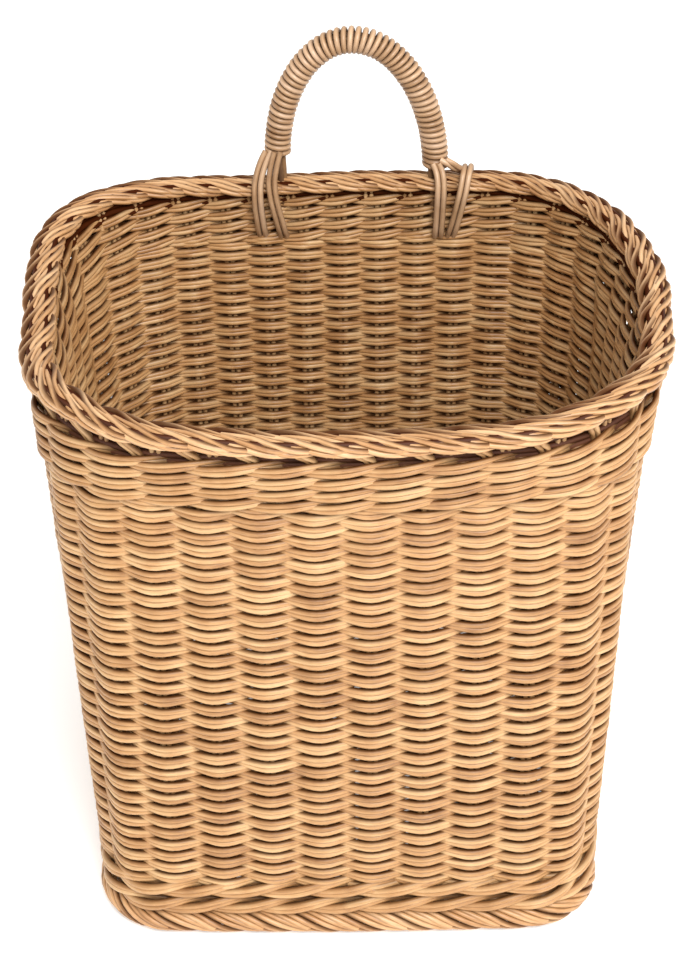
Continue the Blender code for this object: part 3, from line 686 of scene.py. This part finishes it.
def makeBase():
    turns = np.arange(base["outlinePoints"]) / base["outlinePoints"]
    outline = onWall(turns, base["height"], -base["inset"])[0][:, :2]
    sticks, rows = [], []
    reach = base["stickPitch"] * math.floor(outline[:, 0].max() / base["stickPitch"])
    for x in np.arange(-reach, reach + 1.0, base["stickPitch"]):
        ys = np.linspace(*chord(outline, 0, x), base["stickPoints"])
        line = np.column_stack((np.full(len(ys), x), ys, np.full(len(ys), base["height"])))
        sticks.append(guide(line, 0.0, (0, 0, 1), (1, 0, 0)))
    front, back = outline[:, 1].min() + base["rowStart"], outline[:, 1].max() - base["rowEnd"]
    for number, y in enumerate(np.arange(front, back, base["rowPitch"])):
        xs = np.arange(*chord(outline, 1, y), base["stickPitch"] / base["pointsPerStick"])
        line = np.column_stack((xs, np.full(len(xs), y), np.full(len(xs), base["height"])))
        phase = math.pi * (xs / base["stickPitch"] + number)
        rows.append(guide(line, phase, (0, 0, 1), (0, 1, 0)))
    weavePiece("base_sticks", sticks, base["sticks"], stakeCane, ())
    weavePiece("base_weave", rows, base["rows"], baseCane, ("base_panel",))


makeBase()
print("basket woven")

# The bow handle over the back of the rim: a core of five rods, wound close with one strand
handle = {
    "offset": 7.6, "halfSpan": 36.6, "spring": 7.0, "rise": 60.6, "plane": 110.4, "lean": -0.03,
    "bowPoints": 240, "legPoints": 6, "legBottom": 248.0, "legGap": 1.0,
    "coreRods": 5, "corePoints": 90, "coreInset": 0.6, "coreTwist": 0.004,   # turns for each mm
    "core": {"Out Swing": 2.15 * mm, "Rise": 2.15 * mm, "Double": False, "Pair Half": 0.0,
             "Radius": 1.55 * mm, "Wander": 0.2 * mm, "Seed": 43},
    "wrapPitch": 2.78, "wrapPoints": 16, "wrapEndLeft": 283.5, "wrapEndRight": 276.5,
    "wrap": {"Out Swing": 5.05 * mm, "Rise": 5.05 * mm, "Rope Lay": 1.0, "Double": False,
             "Pair Half": 0.0, "Radius": 1.32 * mm, "Radius Vary": 0.1, "Wander": 0.35 * mm,
             "Shade": 0.7, "Seed": 47},
}


def bowLine():
    # from the left leg's foot in the collar, over the top, to the right leg's foot
    angle = np.linspace(0.0, math.pi, handle["bowPoints"])
    top = basket["rimTop"] + handle["spring"]
    x = handle["offset"] - handle["halfSpan"] * np.cos(angle)
    leg = np.linspace(handle["legBottom"], top - handle["legGap"], handle["legPoints"])
    x = np.concatenate((np.full(len(leg), x[0]), x, np.full(len(leg), x[-1])))
    z = np.concatenate((leg, top + handle["rise"] * np.sin(angle), leg[::-1]))
    x = x + handle["lean"] * (z - basket["rimTop"])
    line = np.column_stack((x, np.full(len(x), handle["plane"]), z))
    gone = np.concatenate(((0.0,), np.cumsum(np.linalg.norm(np.diff(line, axis=0), axis=1))))
    return line, gone


def alongBow(places, step=0.5):
    # points on the bow, and its outward and forward directions there
    line, gone = bowLine()
    points = np.column_stack([np.interp(places, gone, line[:, k]) for k in range(3)])
    ahead = np.column_stack([np.interp(places + step, gone, line[:, k])
                             - np.interp(places - step, gone, line[:, k]) for k in range(3)])
    ahead /= np.linalg.norm(ahead, axis=1)[:, None]
    return points, np.cross(ahead, (0.0, 1.0, 0.0)), ahead


def makeHandle():
    line, gone = bowLine()
    places = np.linspace(handle["coreInset"], gone[-1] - handle["coreInset"], handle["corePoints"])
    points, outward, ahead = alongBow(places)
    cores = []
    for rod in range(handle["coreRods"]):
        phase = wholeTurn * (rod / handle["coreRods"] + handle["coreTwist"] * places)
        cores.append(guide(points, phase, outward, (0, 1, 0)))
    weavePiece("handle_core_rods", cores, handle["core"], coreCane, ("handle_core",))
    half = len(line) // 2
    start = np.interp(handle["wrapEndLeft"], line[:half, 2], gone[:half])
    end = np.interp(-handle["wrapEndRight"], -line[half:, 2], gone[half:])
    count = int((end - start) / handle["wrapPitch"] * handle["wrapPoints"])
    places = np.linspace(start, end, count)
    points, outward, ahead = alongBow(places)
    phase = wholeTurn * (places - start) / handle["wrapPitch"]
    weavePiece("handle_wrap_strand", [guide(points, phase, outward, (0, 1, 0), ahead)],
               handle["wrap"], wrapCane, ("handle_wrap",))


makeHandle()

# Lashings: doubled ends of the handle strand, over the rim's inner side and into the weave
lashings = {
    "strands": {"Pair Half": 1.4 * mm, "Radius": 1.4 * mm, "Wander": 0.3 * mm, "Shade": 0.6},
    "pathPoints": 40, "seed": 53,
    "paths": {
        "lashing_left_outer": (("lashing_left_1", "lashing_left_2"),
                               ((-33.4, 106.6, 286.5), (-36.4, 104.2, 280.5), (-38.6, 101.4, 273.0),
                                (-39.0, 99.8, 265.5), (-38.6, 101.2, 256.0), (-37.9, 103.3, 247.5),
                                (-37.2, 107.0, 241.5))),
        "lashing_left_inner": (("lashing_left_3", "lashing_left_4"),
                               ((-29.2, 104.4, 287.0), (-31.0, 103.2, 280.5), (-32.2, 101.2, 273.0),
                                (-31.6, 99.8, 265.5), (-30.0, 101.2, 256.0), (-28.4, 103.3, 247.5),
                                (-27.4, 107.0, 241.5))),
        "lashing_right_inner": (("lashing_right_1", "lashing_right_2"),
                                ((44.0, 104.4, 280.0), (45.4, 103.2, 277.0), (46.3, 101.2, 273.0),
                                 (46.4, 99.6, 266.0), (46.0, 101.3, 256.0), (45.7, 103.3, 246.0),
                                 (45.5, 106.2, 241.0))),
        "lashing_right_outer": (("lashing_right_3", "lashing_right_4"),
                                ((59.6, 116.0, 270.0), (59.4, 111.0, 275.2), (58.2, 103.5, 274.8),
                                 (56.6, 99.8, 267.0), (54.4, 101.2, 256.0), (52.6, 103.3, 246.5),
                                 (51.4, 107.0, 240.5))),
        "lashing_right_over": ((),
                               ((47.5, 105.2, 281.6), (50.5, 104.6, 280.0), (54.0, 106.2, 276.8),
                                (57.4, 110.6, 273.6), (59.0, 114.6, 270.2))),
    },
}


def smoothPath(points):
    # a smooth curve through the points, which ends just inside the last span
    points = np.asarray(points, float)
    padded = np.vstack((2 * points[0] - points[1], points, 2 * points[-1] - points[-2]))
    found = []
    for place in np.linspace(0.0, len(points) - 1.0001, lashings["pathPoints"]):
        k, t = int(place), place % 1.0
        a, b, c, d = padded[k:k + 4]
        found.append(0.5 * (2 * b + (c - a) * t + (2 * a - 5 * b + 4 * c - d) * t ** 2
                            + (3 * b - a - 3 * c + d) * t ** 3))
    return np.array(found)


def makeLashings():
    for number, (name, (nodes, points)) in enumerate(lashings["paths"].items()):
        line = guide(smoothPath(points), 0.0, (0, -1, 0), (1, 0, 0))
        weavePiece(name, [line], dict(lashings["strands"], Seed=lashings["seed"] + number),
                   wrapCane, nodes)


makeLashings()
print("handle bound and lashed")

# The studio: a matt white board, a soft pale room and two softboxes, sizes in metres
studio = {
    "floorReach": 8.0, "floorColour": "#F7F7F5", "floorRoughness": 0.9,
    "glowColour": "#FFFFFF", "floorGlow": 0.3,
    "roomColour": (1.0, 0.995, 0.985, 1.0), "roomLight": 0.8,
    "lightsAim": (0.0, 0.0, 0.14), "lightSize": 0.8,
    "lights": (("key from the front", (0.35, -1.3, 1.6), 35.0),
               ("fill from the right", (1.6, -0.6, 1.5), 9.0)),
}


def addFloor():
    reach = studio["floorReach"]
    mesh = bpy.data.meshes.new("floor")
    mesh.from_pydata([(-reach, -reach, 0), (reach, -reach, 0), (reach, reach, 0),
                      (-reach, reach, 0)], [], [(0, 1, 2, 3)])
    paint = bpy.data.materials.new("floor, matt white board")
    paint.use_nodes = True
    inputs = paint.node_tree.nodes["Principled BSDF"].inputs
    inputs["Base Color"].default_value = srgb(studio["floorColour"])
    inputs["Roughness"].default_value = studio["floorRoughness"]
    inputs["Emission Color"].default_value = srgb(studio["glowColour"])
    inputs["Emission Strength"].default_value = studio["floorGlow"]
    mesh.materials.append(paint)
    floor = bpy.data.objects.new("floor", mesh)
    bpy.context.scene.collection.objects.link(floor)


def addLight():
    world = bpy.data.worlds.new("soft room")
    world.use_nodes = True
    background = world.node_tree.nodes["Background"]
    background.inputs["Color"].default_value = studio["roomColour"]
    background.inputs["Strength"].default_value = studio["roomLight"]
    bpy.context.scene.world = world
    for name, place, power in studio["lights"]:
        data = bpy.data.lights.new(name, "AREA")
        data.shape, data.size, data.energy = "SQUARE", studio["lightSize"], power
        light = bpy.data.objects.new(name, data)
        light.location = place
        aim = Vector(studio["lightsAim"]) - Vector(place)
        light.rotation_euler = aim.to_track_quat("-Z", "Y").to_euler()
        bpy.context.scene.collection.objects.link(light)


# The photograph's viewpoint, from its focal length in pixels, pitch, turn and roll
view = {"focal": 2200.0, "height": 956, "sensor": 36.0, "pitch": 0.6142, "turn": -0.0088,
        "roll": 0.016, "place": (0.00514, -0.81283, 0.74918)}


def addCamera():
    data = bpy.data.cameras.new("camera")
    data.sensor_width = view["sensor"]
    data.lens = view["focal"] * view["sensor"] / view["height"]
    camera = bpy.data.objects.new("camera", data)
    down, turn = view["pitch"], view["turn"]
    right = Vector((math.cos(turn), -math.sin(turn), 0.0))
    ahead = Vector((math.sin(turn) * math.cos(down), math.cos(turn) * math.cos(down),
                    -math.sin(down)))
    up = right.cross(ahead)
    facing = Matrix((right, up, -ahead)).transposed().to_4x4()
    camera.matrix_world = (Matrix.Translation(view["place"]) @ facing
                           @ Matrix.Rotation(-view["roll"], 4, "Z"))
    bpy.context.scene.collection.objects.link(camera)
    bpy.context.scene.camera = camera


addFloor()
addLight()
addCamera()
bpy.context.scene.view_settings.view_transform = "Standard"
print("floor, light and camera set")
